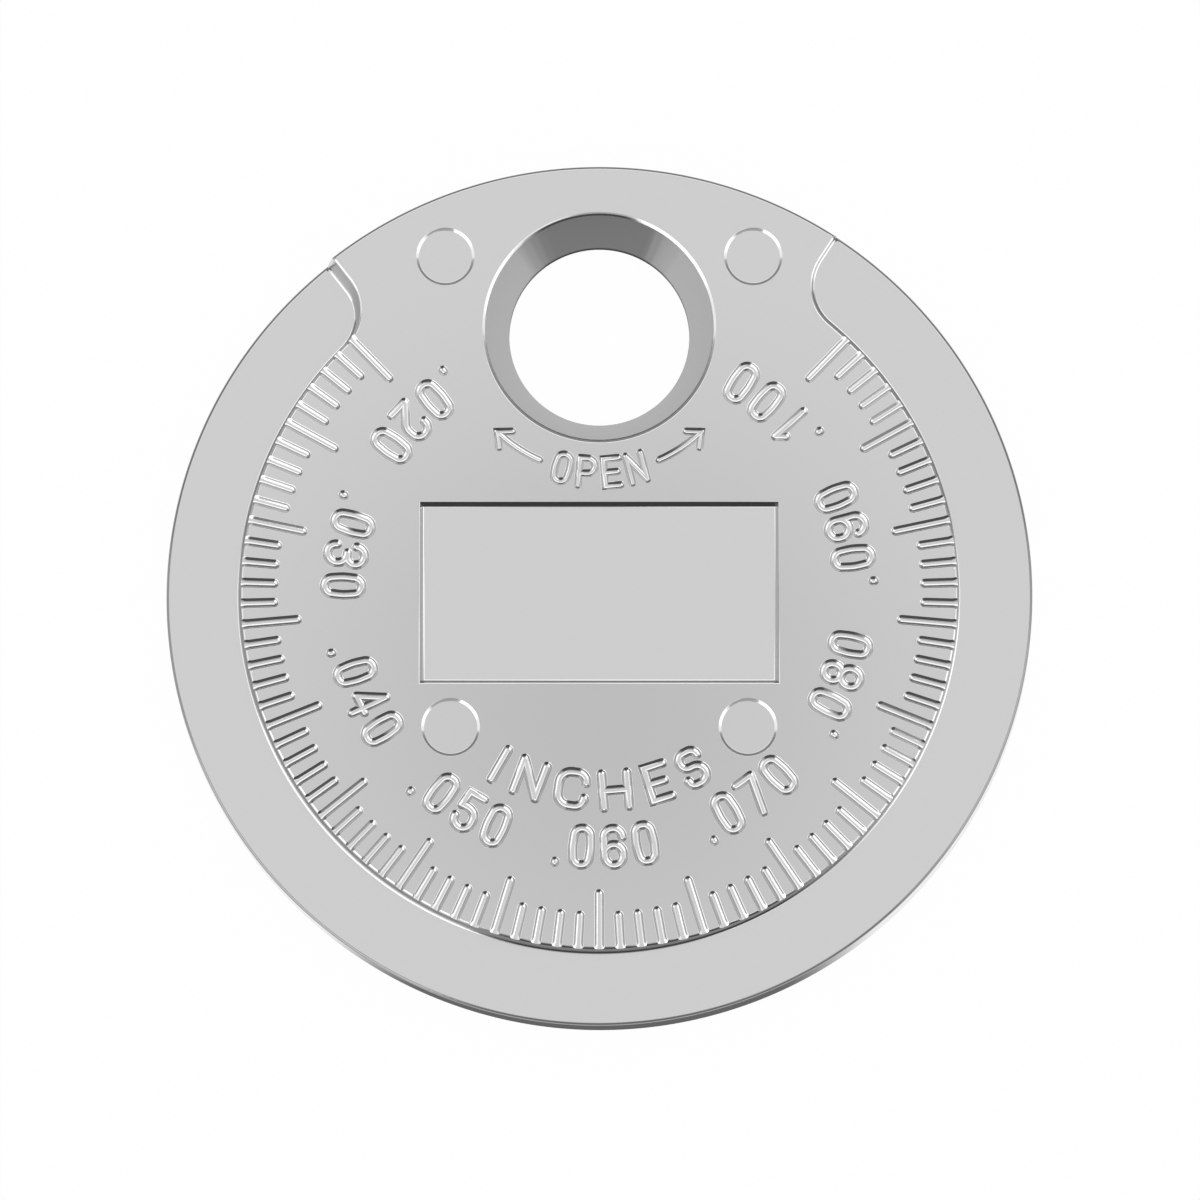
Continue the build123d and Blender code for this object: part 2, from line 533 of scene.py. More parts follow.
def ramp_cutter(disc):
    """Channels above and below the ramp, between its end walls and the step."""
    bm = bmesh.new()
    tube(bm, [ramp_section(disc, station) for station in ramp_stations(disc)])
    close_shell(bm)
    lower = bm.copy()
    middle = Matrix.Translation((0, 0, mm(disc.thickness) / 2))
    flip = middle @ Matrix.Diagonal((1, 1, -1, 1)) @ middle.inverted()
    bmesh.ops.transform(lower, matrix=flip, verts=lower.verts)
    bmesh.ops.reverse_faces(lower, faces=lower.faces)
    join(bm, lower)
    return bm


# Hole, panel and pin marks


def hole_cutter(disc, recess):
    """Tapered hole with a short straight wall at the lower face and rounded ends."""
    top = mm(disc.thickness)
    land = mm(recess.hole_land) / 2
    land_height = mm(recess.hole_land_height)
    mouth = mm(recess.hole_mouth) / 2
    edge = mm(recess.hole_edge_round)
    lean = math.atan2(mouth - land, top - land_height)
    profile = [Vector((0, 0, -PAST)), Vector((land + edge, 0, -PAST))]
    for slope in (0.35, 0.75, 1.15, math.pi / 2):
        out, up = edge * (1 - math.sin(slope)), edge * (1 - math.cos(slope))
        profile.append(Vector((land + out, 0, up)))
    # The first point of the lower round is drawn out past the face
    profile[2] -= Vector((-0.3, 0, 0.3 * math.tan(0.2)))
    profile.append(Vector((land, 0, land_height)))
    # Shallow chamfer around the mouth
    start = mouth - 0.66 * edge * math.tan(lean)
    chamfer = [
        Vector((start + share * edge, 0, top - drop * edge))
        for share, drop in ((0.0, 0.66), (0.05, 0.56), (0.86, 0.03), (0.96, 0.004))
    ]
    # Rings near both ends of the cone, which keep it straight between them
    profile += [profile[-1].lerp(chamfer[0], share) for share in (0.03, 0.97)]
    profile += chamfer
    outside = start + edge + 0.3
    profile += [Vector((outside, 0, top + 0.02)), Vector((outside, 0, top + PAST))]
    profile.append(Vector((0, 0, top + PAST)))
    return turned(profile, 128, (0, mm(recess.hole_offset), 0))


def panel_cutter(disc, recess):
    """Sunk panel with sloping walls, a small hollow round at their foot and a soft upper edge."""
    top = mm(disc.thickness)
    depth = mm(recess.panel_depth)
    lean = math.tan(recess.panel_draft)
    foot = 0.1
    soft = 0.04
    width = mm(recess.panel_width)
    height = mm(recess.panel_height)
    # Half difference to the size at the face, and height, from the floor up to past the face
    levels = (
        (-depth * lean - foot, -depth),
        (-depth * lean - 0.55 * foot, -depth + 0.1 * foot),
        (-depth * lean - 0.2 * foot, -depth + 0.38 * foot),
        (-(depth - foot) * lean, -depth + foot),
        (-soft * lean, -soft),
        (0.3 * soft, -0.25 * soft),
        (soft + 0.2, 0.25 * soft + 0.05),
        (soft + 0.2, 0.5),
    )
    bm = bmesh.new()
    tube(bm, [
        [
            Vector((side_x * (width / 2 + spread), side_y * (height / 2 + spread), top + rise))
            for side_x, side_y in ((-1, -1), (1, -1), (1, 1), (-1, 1))
        ]
        for spread, rise in levels
    ])
    bmesh.ops.translate(bm, verts=bm.verts, vec=(0, mm(recess.panel_offset), 0))
    close_shell(bm)
    return bm


PIN_MARK_PLACES = ((6.23, 13.8), (-6.23, 13.8), (6.0, -5.45), (-6.0, -5.45))


def pin_mark_cutters(disc, recess):
    """Shallow round marks of the ejector pins."""
    top = mm(disc.thickness)
    radius = mm(recess.pin_diameter) / 2
    depth = mm(recess.pin_depth)
    # A flat floor, a soft shoulder around it, and a wider part above the face
    profile = (
        (0, -depth), (radius - 0.095, -depth), (radius - 0.07, -0.9 * depth),
        (radius + 0.02, -0.12 * depth), (radius + 0.04, -0.02 * depth),
        (radius + 0.25, 0.06), (radius + 0.25, 0.4), (0, 0.4),
    )
    whole = bmesh.new()
    for x, y in PIN_MARK_PLACES:
        points = [Vector((out, 0, top + rise)) for out, rise in profile]
        join(whole, turned(points, 48, (x, y, 0)))
    return whole


# Grooves

# Half of a groove's section, from its bottom to above the face: share of the half width, and
# share of the depth
GROOVE_SECTION = (
    (0.0, -1.0), (0.17, -0.972), (0.36, -0.87), (0.56, -0.68), (0.76, -0.41), (0.91, -0.14),
    (0.99, -0.03), (1.2, 0.083), (1.2, 1.4), (0.0, 1.4),
)


def groove(bm, path, width, depth, top, closed, mouth):
    """Groove along a path in plan, with round ends. A mouth gives how much wider the groove is at
    each of its last points, and leaves its far end plain."""
    half = [Vector((out * width / 2, 0, top + rise * depth)) for out, rise in GROOVE_SECTION]
    points = [Vector(point).to_2d() for point in path]
    if closed:
        points = [points[-1], *points, points[0]]
    rows = []
    for count, point in enumerate(points):
        before = point - points[count - 1] if count else points[1] - point
        after = points[count + 1] - point if count + 1 < len(points) else before
        before, after = before.normalized(), after.normalized()
        mitre = (before + after).normalized()
        side = Vector((-mitre.y, mitre.x)) / max(mitre.dot(after), 0.3)
        past = count - len(points) + len(mouth)
        if mouth and past >= 0:
            side *= mouth[past]
        row = [(point + side * item.x).to_3d() + Vector((0, 0, item.z)) for item in half]
        row += [(point - side * item.x).to_3d() + Vector((0, 0, item.z)) for item in half[-2:0:-1]]
        rows.append(row)
    if closed:
        rows = [*rows[1:-1], rows[1]]
    tube(bm, rows)
    ends = [] if closed else [(0, 1)] if mouth else [(0, 1), (-1, -1)]
    for place, sense in ends:
        verts, edges = chain(bm, rows[place][:len(half)])
        bmesh.ops.spin(
            bm, geom=verts + edges, cent=points[place].to_3d(), axis=(0, 0, 1),
            angle=sense * math.pi, steps=8)


def rounded_path(corners, closed):
    """Line through corners, each (x, y), or (x, y, radius) where it is rounded. An end that lies
    nearer to its corner than the round is left out."""
    points = [Vector(corner[:2]) for corner in corners]
    total = len(points)
    shortest = 0.03
    found = []
    reaches = {}
    for count, point in enumerate(points):
        if len(corners[count]) == 2:
            found.append([point])
            continue
        radius = corners[count][2]
        before = (point - points[count - 1]).normalized()
        after = (points[(count + 1) % total] - point).normalized()
        turn = math.atan2(before.cross(after), before.dot(after))
        reaches[count] = radius * math.tan(abs(turn) / 2)
        start = point - reaches[count] * before
        centre = start + radius * Vector((-before.y, before.x)) * math.copysign(1, turn)
        steps = max(2, round(math.degrees(abs(turn)) / 15))
        found.append([
            centre + Matrix.Rotation(turn * step / steps, 2) @ (start - centre)
            for step in range(steps + 1)
        ])
    if not closed:
        for end, corner in ((0, 1), (total - 1, total - 2)):
            if (points[end] - points[corner]).length < reaches.get(corner, 0) + 0.01:
                found[end] = []
    kept = []
    for point in sum(found, []):
        if not kept or (point - kept[-1]).length > shortest:
            kept.append(point)
    if closed and (kept[0] - kept[-1]).length <= shortest:
        kept.pop()
    return kept


# Figures and words


def stroke(layer, *corners, closed=False):
    """Stroke of a sign: its layer, its corners as rounded_path takes them, and if it is closed."""
    return layer, corners, closed


def strokes_of(sign, w, h):
    """Strokes of a figure or letter of a width and height, which are between stroke middles.
    Strokes of one sign that meet lie in different layers."""
    r = w / 2
    flat, side, tall = 0.1 * w, 0.42 * w, 0.6 * h * h / w
    upper, lower = 0.87 * r, 0.97 * r
    left, right = stroke(0, (0, 0), (0, h)), stroke(0, (w, 0), (w, h))
    zero = [stroke(
        0, (flat, 0, side), (w - flat, 0, side), (w, 0.5 * h, tall), (w - flat, h, side),
        (flat, h, side), (0, 0.5 * h, tall), closed=True)]
    six = [
        stroke(0, (0, 0, r), (w, 0, r), (w, 0.56 * h, r), (0, 0.56 * h, r), closed=True),
        stroke(1, (0, 0.3 * h), (0, h, r), (w, h, r), (w, 0.8 * h)),
    ]
    return {
        "0": zero,
        "1": [stroke(0, (r, 0), (r, h)), stroke(1, (r, h), (0.12 * w, 0.8 * h))],
        "2": [
            stroke(0, (0, 0.74 * h), (0, h, r), (w, h, r), (w, 0.52 * h, 0.6 * w), (0, 0.02 * h)),
            stroke(1, (0, 0), (w, 0)),
        ],
        "3": [
            stroke(0, (0, 0.8 * h), (0, h, r), (w, h, r), (w, 0.53 * h, 0.22 * h),
                   (0.48 * w, 0.53 * h)),
            stroke(1, (0.4 * w, 0.53 * h), (w, 0.53 * h, 0.25 * h), (w, 0, 0.25 * h),
                   (0, 0, 0.45 * w), (0, 0.2 * h)),
        ],
        "4": [
            stroke(0, (0.74 * w, 0), (0.74 * w, h)),
            stroke(1, (0, 0.3 * h), (w, 0.3 * h)),
            stroke(2, (0.74 * w, h), (0, 0.3 * h)),
        ],
        "5": [
            stroke(0, (0, 0.2 * h), (0, 0, r), (w, 0, r), (w, 0.6 * h, 0.28 * h),
                   (0.1 * w, 0.6 * h)),
            stroke(1, (0.04 * w, 0.58 * h), (0.1 * w, h), (0.95 * w, h)),
        ],
        "6": six,
        "7": [stroke(0, (0, h), (w, h)), stroke(1, (w, h), (0.35 * w, 0))],
        "8": [
            stroke(0, (0, 0, lower), (w, 0, lower), (w, 0.53 * h, lower), (0, 0.53 * h, lower),
                   closed=True),
            stroke(1, (0.05 * w, 0.53 * h, upper), (0.95 * w, 0.53 * h, upper),
                   (0.95 * w, h, upper), (0.05 * w, h, upper), closed=True),
        ],
        "9": [
            (layer, [(w - x, h - y, *radius) for x, y, *radius in corners], closed)
            for layer, corners, closed in six
        ],
        "C": [stroke(
            0, (w, 0.72 * h), (w, h, 0.27 * h), (0, h, 0.34 * h), (0, 0, 0.34 * h),
            (w, 0, 0.27 * h), (w, 0.28 * h))],
        "E": [
            stroke(0, (w, h), (0, h), (0, 0), (w, 0)),
            stroke(1, (0, 0.5 * h), (0.85 * w, 0.5 * h)),
        ],
        "H": [left, right, stroke(1, (0, 0.5 * h), (w, 0.5 * h))],
        "I": [stroke(0, (r, 0), (r, h))],
        "M": [left, right, stroke(1, (0, h), (r, 0.3 * h)), stroke(2, (w, h), (r, 0.3 * h))],
        "N": [left, right, stroke(1, (0, h), (w, 0))],
        "O": zero,
        "P": [
            left,
            stroke(1, (0, h), (w, h, 0.27 * h), (w, 0.45 * h, 0.27 * h), (0, 0.45 * h)),
        ],
        "S": [stroke(
            0, (w, 0.8 * h), (w, h, 0.2 * h), (0, h, 0.23 * h), (0, 0.53 * h, 0.23 * h),
            (w, 0.53 * h, 0.26 * h), (w, 0, 0.26 * h), (0, 0, 0.2 * h), (0, 0.2 * h))],
    }[sign]


class Engraver:
    """Collects the grooves of both faces in layers, which are cut one after another. Each layer
    is a hair shallower than the one before, so that no two floors coincide."""

    layer_step = 0.003

    def __init__(self, disc):
        self.disc = disc
        self.top = mm(disc.thickness)
        self.layers = defaultdict(bmesh.new)
        self.underside = False

    def direction(self, gap):
        """Direction in which the rim is as thick as a gap, as the face at hand is read."""
        angle = gap_angle(self.disc, gap)
        return math.pi - angle if self.underside else angle

    def groove(self, layer, path, width, depth, closed=False, mouth=()):
        """Adds one groove."""
        bm = bmesh.new()
        groove(bm, path, width, depth - self.layer_step * layer, self.top, closed, mouth)
        close_shell(bm)
        if self.underside:
            turn = Matrix.Rotation(math.pi, 4, "Y")
            middle = Matrix.Translation((0, 0, self.top / 2))
            bmesh.ops.transform(bm, matrix=middle @ turn @ middle.inverted(), verts=bm.verts)
        join(self.layers[layer], bm)

    def sign(self, sign, radius, angle, size, line, centre=(0, 0)):
        """Adds a figure or letter whose top points to a centre, at a radius and direction. Its
        size is its width and height, and its line is the groove's width and depth."""
        outward = on_circle(1, angle).to_2d()
        along = Vector((-outward.y, outward.x))
        for layer, corners, closed in strokes_of(sign, *size):
            path = [
                Vector(centre) + (radius - (point.y - size[1] / 2)) * outward
                + (point.x - size[0] / 2) * along
                for point in rounded_path(corners, closed)
            ]
            self.groove(layer, path, *line, closed)


def engrave_marks(engraver, engraving, step, per_long_mark):
    """Scale marks at whole steps of the gap. They widen where they open at the step."""
    disc = engraver.disc
    hub_radius = mm(disc.hub_diameter) / 2
    width = mm(engraving.groove_width)
    first = math.ceil(disc.first_gap / step - 0.01)
    last = math.floor(disc.last_gap / step + 0.01)
    for count in range(first, last + 1):
        short = count % per_long_mark
        inner = mm(engraving.short_mark_radius if short else engraving.long_mark_radius)
        radii = (inner + width / 2, hub_radius - 0.2, hub_radius - 0.08, hub_radius + 0.12)
        path = [on_circle(radius, engraver.direction(count * step)) for radius in radii]
        engraver.groove(0, path, width, mm(engraving.groove_depth), mouth=(1.15, 1.6))


# Radius of the scale figures, and how far their digits stand from the middle of the number
FIGURE_RADIUS = 10.35
INCH_DIGITS = (0.573 - 1.285, 0.573, 0.573 + 1.285)
MILLIMETRE_DIGITS = (-0.85, 0.85)
# Radii that the points reach between, and how far they are turned from the middle of the number
# and how wide they are
POINT_RADII = (11.06, 11.12)
INCH_POINT = (-1.80 / 11.08, 0.38)
MILLIMETRE_POINT = (0.0, 0.32)


def engrave_figure(engraver, engraving, gap, digits, shifts, point_turn, point_width):
    """Number of a scale at its gap, with its point."""
    middle = engraver.direction(gap)
    size = (mm(engraving.figure_width), mm(engraving.figure_height))
    line = (mm(engraving.stroke_width), mm(engraving.stroke_depth))
    for digit, shift in zip(digits, shifts):
        engraver.sign(digit, FIGURE_RADIUS, middle + shift / FIGURE_RADIUS, size, line)
    point = [on_circle(radius, middle + point_turn) for radius in POINT_RADII]
    engraver.groove(0, point, point_width, line[1])


# The scales' units: radius, height and widths of their lines, and for each letter its direction
# from the lower edge, in degrees, and its width
UNIT_RADIUS = 8.05
UNIT_HEIGHT = 1.38
INCH_UNIT_LINE = 0.42
MILLIMETRE_UNIT_LINE = 0.36
INCH_LETTERS = (
    ("I", -29.9, 0.9), ("N", -20.3, 0.95), ("C", -7.9, 1.08), ("H", 4.6, 1.02),
    ("E", 17.0, 0.78), ("S", 27.9, 0.80),
)
MILLIMETRE_LETTERS = (("M", -7.0, 1.1), ("M", 7.0, 1.1))


def engrave_unit(engraver, letters, line):
    """Unit of a scale."""
    for letter, angle, width in letters:
        engraver.sign(
            letter, UNIT_RADIUS, math.radians(270 + angle), (width, UNIT_HEIGHT), line)


# The word under the hole and its arrows: radius from the hole's middle, width and height of a
# letter, and width and depth of the lines
HOLE_WORD_RADIUS = 5.95
HOLE_WORD_SIZE = (0.62, 1.12)
HOLE_WORD_LINE = (0.32, 0.13)


def engrave_hole_word(engraver, recess):
    """Plain word under the hole, and an arrow on each side of it."""
    centre = (0, mm(recess.hole_offset))
    for letter, angle in zip("OPEN", (-14.6, -4.9, 4.9, 14.6)):
        engraver.sign(
            letter, HOLE_WORD_RADIUS, math.radians(270 + angle), HOLE_WORD_SIZE,
            HOLE_WORD_LINE, centre)
    # Shaft and head of an arrow: how far out from the word's radius, and degrees from its middle
    shaft = [(0, 24 + 2 * step) for step in range(11)]
    head = [(-0.42, 39.5), (0, 44), (0.42, 39.5)]
    for side in (-1, 1):
        for layer, places in enumerate((shaft, head)):
            path = [
                Vector(centre)
                + on_circle(HOLE_WORD_RADIUS + out, math.radians(270 + side * turn)).to_2d()
                for out, turn in places
            ]
            engraver.groove(layer, path, *HOLE_WORD_LINE)


def engraved(disc, recess, engraving):
    """Engraver with the inch scale, the word under the hole and the millimetre scale."""
    depth = mm(engraving.stroke_depth)
    engraver = Engraver(disc)
    engrave_marks(engraver, engraving, 0.001 * INCH * MM, 5)
    for hundredths in range(2, 11):
        engrave_figure(
            engraver, engraving, hundredths * 0.01 * INCH * MM, f"{hundredths * 10:03d}",
            INCH_DIGITS, *INCH_POINT)
    engrave_unit(engraver, INCH_LETTERS, (INCH_UNIT_LINE, depth + 0.01))
    engrave_hole_word(engraver, recess)

    engraver.underside = True
    engrave_marks(engraver, engraving, 0.05 * MM, 2)
    for fifths in range(3, 13):
        engrave_figure(
            engraver, engraving, fifths * 0.2 * MM, f"{fifths * 0.2:.1f}".replace(".", ""),
            MILLIMETRE_DIGITS, *MILLIMETRE_POINT)
    engrave_unit(engraver, MILLIMETRE_LETTERS, (MILLIMETRE_UNIT_LINE, depth))
    return engraver


# Finished disc

# Faces less steep than the first count as flat, and edges less sharp than the second are smooth
FLAT_ANGLE = math.radians(3)
SMOOTH_ANGLE = math.radians(38)


def vectors(items, name):
    """A vector of each of a mesh's items, as the rows of an array."""
    rows = np.empty(len(items) * 3)
    items.foreach_get(name, rows)
    return rows.reshape(-1, 3)


def even_normals(mesh):
    """Keeps the flat faces flat: where one meets a vertex, it alone sets the normal there,
    and the small rounded edges beside it turn towards it."""
    normals = vectors(mesh.polygons, "normal")
    areas = np.empty(len(mesh.polygons))
    mesh.polygons.foreach_get("area", areas)
    corners = np.empty(len(mesh.loops), dtype=int)
    mesh.loops.foreach_get("vertex_index", corners)
    finished = vectors(mesh.corner_normals, "vector")

    flat_corners = np.repeat(np.abs(normals[:, 2]) > math.cos(FLAT_ANGLE), 3)
    weights = np.repeat(normals * areas[:, None], 3, axis=0)[flat_corners]
    pulled = np.zeros((len(mesh.vertices), 3))
    np.add.at(pulled, corners[flat_corners], weights)
    lengths = np.linalg.norm(pulled, axis=1)
    pulled[lengths > 0] /= lengths[lengths > 0][:, None]
    wanted = pulled[corners]
    near = (wanted * finished).sum(axis=1) > math.cos(SMOOTH_ANGLE)
    near |= flat_corners
    finished[near] = wanted[near]

    # The outer side is a plain cylinder: its faces stand upright at the full radius
    outward = vectors(mesh.vertices, "co")[corners] * (1, 1, 0)
    reach = np.linalg.norm(outward, axis=1)
    upright = np.repeat(np.abs(normals[:, 2]) < 0.02, 3) & (reach > reach.max() - 1e-5)
    finished[upright] = outward[upright] / reach[upright][:, None]
    mesh.normals_split_custom_set(finished)


def finished_disc(disc, recess, engraving):
    """The whole casting as one closed mesh, in metres."""
    item = new_object(mesh_from(blank_disc(disc), DISC_NAME), DISC_NAME)
    cut(item, ramp_cutter(disc))

    recesses = hole_cutter(disc, recess)
    join(recesses, panel_cutter(disc, recess))
    join(recesses, pin_mark_cutters(disc, recess))
    cut(item, recesses)

    layers = engraved(disc, recess, engraving).layers
    for layer in sorted(layers):
        cut(item, layers[layer])

    mesh = item.data
    split_into_triangles(mesh)
    mesh.transform(Matrix.Scale(MM, 4))
    mesh.polygons.foreach_set("use_smooth", [True] * len(mesh.polygons))
    mesh.set_sharp_from_angle(angle=SMOOTH_ANGLE)
    even_normals(mesh)
    return item


# Materials, whose lengths are in metres


class Nodes:
    """Nodes of a material or a world, from its output back."""

    def __init__(self, owner, output):
        owner.use_nodes = True
        self.tree = owner.node_tree
        self.tree.nodes.clear()
        self.output = self.add(output)

    def add(self, kind, inputs=None, **properties):
        """Node of a kind. Each input is given the socket of another node, or a value."""
        node = self.tree.nodes.new(kind)
        for name, value in properties.items():
            setattr(node, name, value)
        for name, value in (inputs or {}).items():
            if isinstance(value, bpy.types.NodeSocket):
                self.tree.links.new(value, node.inputs[name])
            else:
                node.inputs[name].default_value = value
        return node

    def math(self, operation, *values, **properties):
        """Result of an operation on one to three values."""
        inputs = dict(enumerate(values))
        return self.add("ShaderNodeMath", inputs, operation=operation, **properties).outputs[0]

    def multiply(self, first, second):
        """Product of two values."""
        return self.math("MULTIPLY", first, second)

    def vector_math(self, operation, *values, result="Vector"):
        """Result of an operation on one or two vectors, which is a vector or a value."""
        inputs = dict(enumerate(values))
        return self.add("ShaderNodeVectorMath", inputs, operation=operation).outputs[result]

    def step(self, value, low, high):
        """Smooth step of a value, from 0 at the low end to 1 at the high end."""
        inputs = {"Value": value, "From Min": low, "From Max": high}
        return self.add(
            "ShaderNodeMapRange", inputs, interpolation_type="SMOOTHSTEP").outputs["Result"]

    def spot(self, position, centre, outer, inner):
        """Round mask in plan: 1 inside the inner radius, 0 outside the outer one."""
        flat = self.vector_math("MULTIPLY", position, (1, 1, 0))
        away = self.vector_math("DISTANCE", flat, (*centre, 0), result="Value")
        return self.step(away, outer, inner)

    def facing(self, heading, direction, far, near):
        """Mask of slopes that face a direction in plan: 0 far from it, 1 near it."""
        wanted = on_circle(1, math.radians(direction))
        towards = self.vector_math("DOT_PRODUCT", heading, wanted, result="Value")
        return self.step(towards, far, near)

    def mix(self, factor, first, second):
        """Mix of two values."""
        inputs = {"Factor": factor, 2: first, 3: second}
        return self.add("ShaderNodeMix", inputs, data_type="FLOAT").outputs[0]

    def mix_colours(self, factor, first, second):
        """Mix of two colours, each a socket or a colour."""
        inputs = {"Factor": factor}
        for name, item in ((6, first), (7, second)):
            inputs[name] = item if isinstance(item, bpy.types.NodeSocket) else (*item, 1)
        return self.add("ShaderNodeMix", inputs, data_type="RGBA").outputs[2]

    def mix_shaders(self, factor, first, second):
        """Mix of two shaders."""
        inputs = {"Fac": factor, 1: first.outputs[0], 2: second.outputs[0]}
        return self.add("ShaderNodeMixShader", inputs)

    def finish(self, shader):
        """Links the shader to the output, and puts the nodes in columns by their distance
        from it."""
        self.tree.links.new(shader.outputs[0], self.output.inputs["Surface"])
        columns = {self.output.name: 0}
        waiting = [self.output]
        while waiting:
            node = waiting.pop()
            for link in (link for socket in node.inputs for link in socket.links):
                if columns.get(link.from_node.name, 0) <= columns[node.name]:
                    columns[link.from_node.name] = columns[node.name] + 1
                    waiting.append(link.from_node)
        filled = defaultdict(int)
        for node in self.tree.nodes:
            column = columns[node.name]
            node.location = (-220 * column, -300 * filled[column])
            filled[column] += 1


# Steps on the tilt of a surface, which is 0 where it is flat and 1 where it is upright
LEAVING_FLAT = (0.08, 0.15)
GETTING_STEEP = (0.36, 0.44)
GETTING_UPRIGHT = (0.62, 0.72)
# Tilt at which painted shade starts on slopes that face the lower edge
SHADE_TILT = (0.52, 0.62)
# Steps on its flatness, which is 1 where it is flat and 0 where it is upright
EDGE = (0.998, 0.96)
CONE = (0.75, 0.5)
SIDE = (0.5, 0.2)
WALL = (0.35, 0.12)
# Directions that slopes face, in degrees, and the steps on how nearly they do
TOWARDS_HOLE = (90, 0.15, 0.45)
# Slopes that face the lower edge get painted shade
TOWARDS_SHADE = (278, 0.86, 0.94)
# Round parts of the disc in plan: middle, outer radius and inner radius of the step
# The first part is where the hub face gets painted shade
SHADED_HUB_PART = ((0.0, -0.005), 0.021, 0.0)
PANEL_PART = ((0.0, 0.0), 0.0105, 0.0095)
# Where painted shade on the side starts, along Y, and where it is full
SHADED_SIDE = (-0.0132, -0.0160)


def plated_casting(finish, disc, recess):
    """Material: bright satin plating that follows the fine grain of the casting, with painted
    highlights and painted shade.
    """
    material = bpy.data.materials.new("plated_casting")
    nodes = Nodes(material, "ShaderNodeOutputMaterial")
    place = nodes.add("ShaderNodeTexCoord").outputs
    position = place["Object"]
    level = nodes.add("ShaderNodeSeparateXYZ", {0: position}).outputs
    normal = nodes.add("ShaderNodeSeparateXYZ", {0: place["Normal"]}).outputs
    flatness = nodes.math("ABSOLUTE", normal["Z"])

    # Hub face, with painted shade that makes it a little darker towards its lower half
    face = nodes.step(level["Z"], disc.thickness - 0.00015, disc.thickness - 0.00003)
    hub_shade = nodes.multiply(nodes.spot(position, *SHADED_HUB_PART), face)
    colour = nodes.mix_colours(hub_shade, finish.plating_colour, finish.hub_shade_colour)

    # Slopes of grooves and edges: painted highlights, and painted shade where they face the lower
    # edge
    slope = nodes.vector_math("MULTIPLY", place["Normal"], (1, 1, 0))
    tilt = nodes.vector_math("LENGTH", slope, result="Value")
    heading = nodes.vector_math("NORMALIZE", slope)
    gentle = nodes.multiply(
        nodes.step(tilt, *LEAVING_FLAT), nodes.step(tilt, *reversed(GETTING_STEEP)))
    medium = nodes.multiply(
        nodes.step(tilt, *GETTING_STEEP), nodes.step(tilt, *reversed(GETTING_UPRIGHT)))
    painted_highlight = nodes.mix(nodes.facing(heading, *TOWARDS_HOLE), medium, gentle)
    colour = nodes.mix_colours(painted_highlight, colour, finish.painted_highlight_colour)
    # Painted shade on steep slopes that face the lower edge
    painted_slope_shade = nodes.multiply(
        nodes.step(tilt, *SHADE_TILT), nodes.facing(heading, *TOWARDS_SHADE))
    colour = nodes.mix_colours(painted_slope_shade, colour, finish.painted_shade_colour)

    # Upright walls, in painted shade, and the panel's wall below the hole, in deeper painted shade
    wall = nodes.step(flatness, *WALL)
    colour = nodes.mix_colours(wall, colour, finish.wall_shade_colour)
    shaded = nodes.multiply(wall, nodes.step(normal["Y"], 0.0, -0.8))
    panel_wall = nodes.multiply(shaded, nodes.spot(position, *PANEL_PART))
    colour = nodes.mix_colours(panel_wall, colour, finish.shade_colour)

    # Cone of the hole, in painted shade that is deepest on its far side, along streaks like those
    # its reamer leaves
    mouth = recess.hole_mouth / 2
    in_hole = nodes.spot(
        position, (0.0, recess.hole_offset), mouth + 0.00008, mouth - 0.00005)
    cone = nodes.multiply(in_hole, nodes.step(flatness, *CONE))
    streaks = nodes.add(
        "ShaderNodeTexNoise", {"Vector": place["Normal"], "Scale": 4.0, "Detail": 3.0})
    streaked = nodes.math("MULTIPLY_ADD", streaks.outputs["Fac"], 0.5, normal["Y"])
    far_shade_mask = nodes.step(streaked, -0.32, -0.62)
    cone_shade_colour = nodes.mix_colours(far_shade_mask, finish.cone_shade_colour, finish.cone_far_shade_colour)
    colour = nodes.mix_colours(cone, colour, cone_shade_colour)

    # Outer side, with a painted sheen, and its rounded edge, in painted shade
    rim = disc.diameter / 2
    at_rim = nodes.spot(position, (0.0, 0.0), rim - 0.00016, rim - 0.00012)
    side = nodes.multiply(at_rim, nodes.step(flatness, *SIDE))
    edge = nodes.multiply(at_rim, nodes.step(flatness, *EDGE))
    rim_shading_colour = nodes.mix_colours(side, finish.rim_shading_colour, finish.side_sheen_colour)
    colour = nodes.mix_colours(edge, colour, rim_shading_colour)

    # Painted shade: less shine at a low angle on the walls, the lower part of the side
    # and the hole's straight wall
    painted_side_shade = nodes.multiply(nodes.step(level["Y"], *SHADED_SIDE), side)
    tint = nodes.mix_colours(wall, grey(1), finish.wall_shade_tint)
    tint = nodes.mix_colours(side, tint, grey(1))
    tint = nodes.mix_colours(painted_side_shade, tint, finish.deep_shade_tint)
    tint = nodes.mix_colours(nodes.multiply(cone, wall), tint, finish.deep_shade_tint)

    roughness = nodes.add(
        "ShaderNodeMapRange",
        {"Value": cone, "To Min": finish.roughness, "To Max": finish.cone_roughness})
    grain = nodes.add(
        "ShaderNodeTexNoise", {"Vector": position, "Scale": 1 / finish.grain_size, "Detail": 2.0})
    bump = nodes.add(
        "ShaderNodeBump", {"Strength": 0.12, "Distance": 0.00002, "Height": grain.outputs["Fac"]})
    nodes.finish(nodes.add("ShaderNodeBsdfPrincipled", {
        "Metallic": 1.0, "Base Color": colour, "Specular Tint": tint,
        "Roughness": roughness.outputs["Result"], "Normal": bump.outputs["Normal"]}))
    return material


def seen_or_mirrored(nodes):
    """Mask that is 1 for what the camera sees, by itself or through metal or glass."""
    path = nodes.add("ShaderNodeLightPath").outputs
    seen = nodes.math("ADD", path["Is Camera Ray"], path["Is Glossy Ray"], use_clamp=True)
    return nodes.math("ADD", seen, path["Is Transmission Ray"], use_clamp=True)


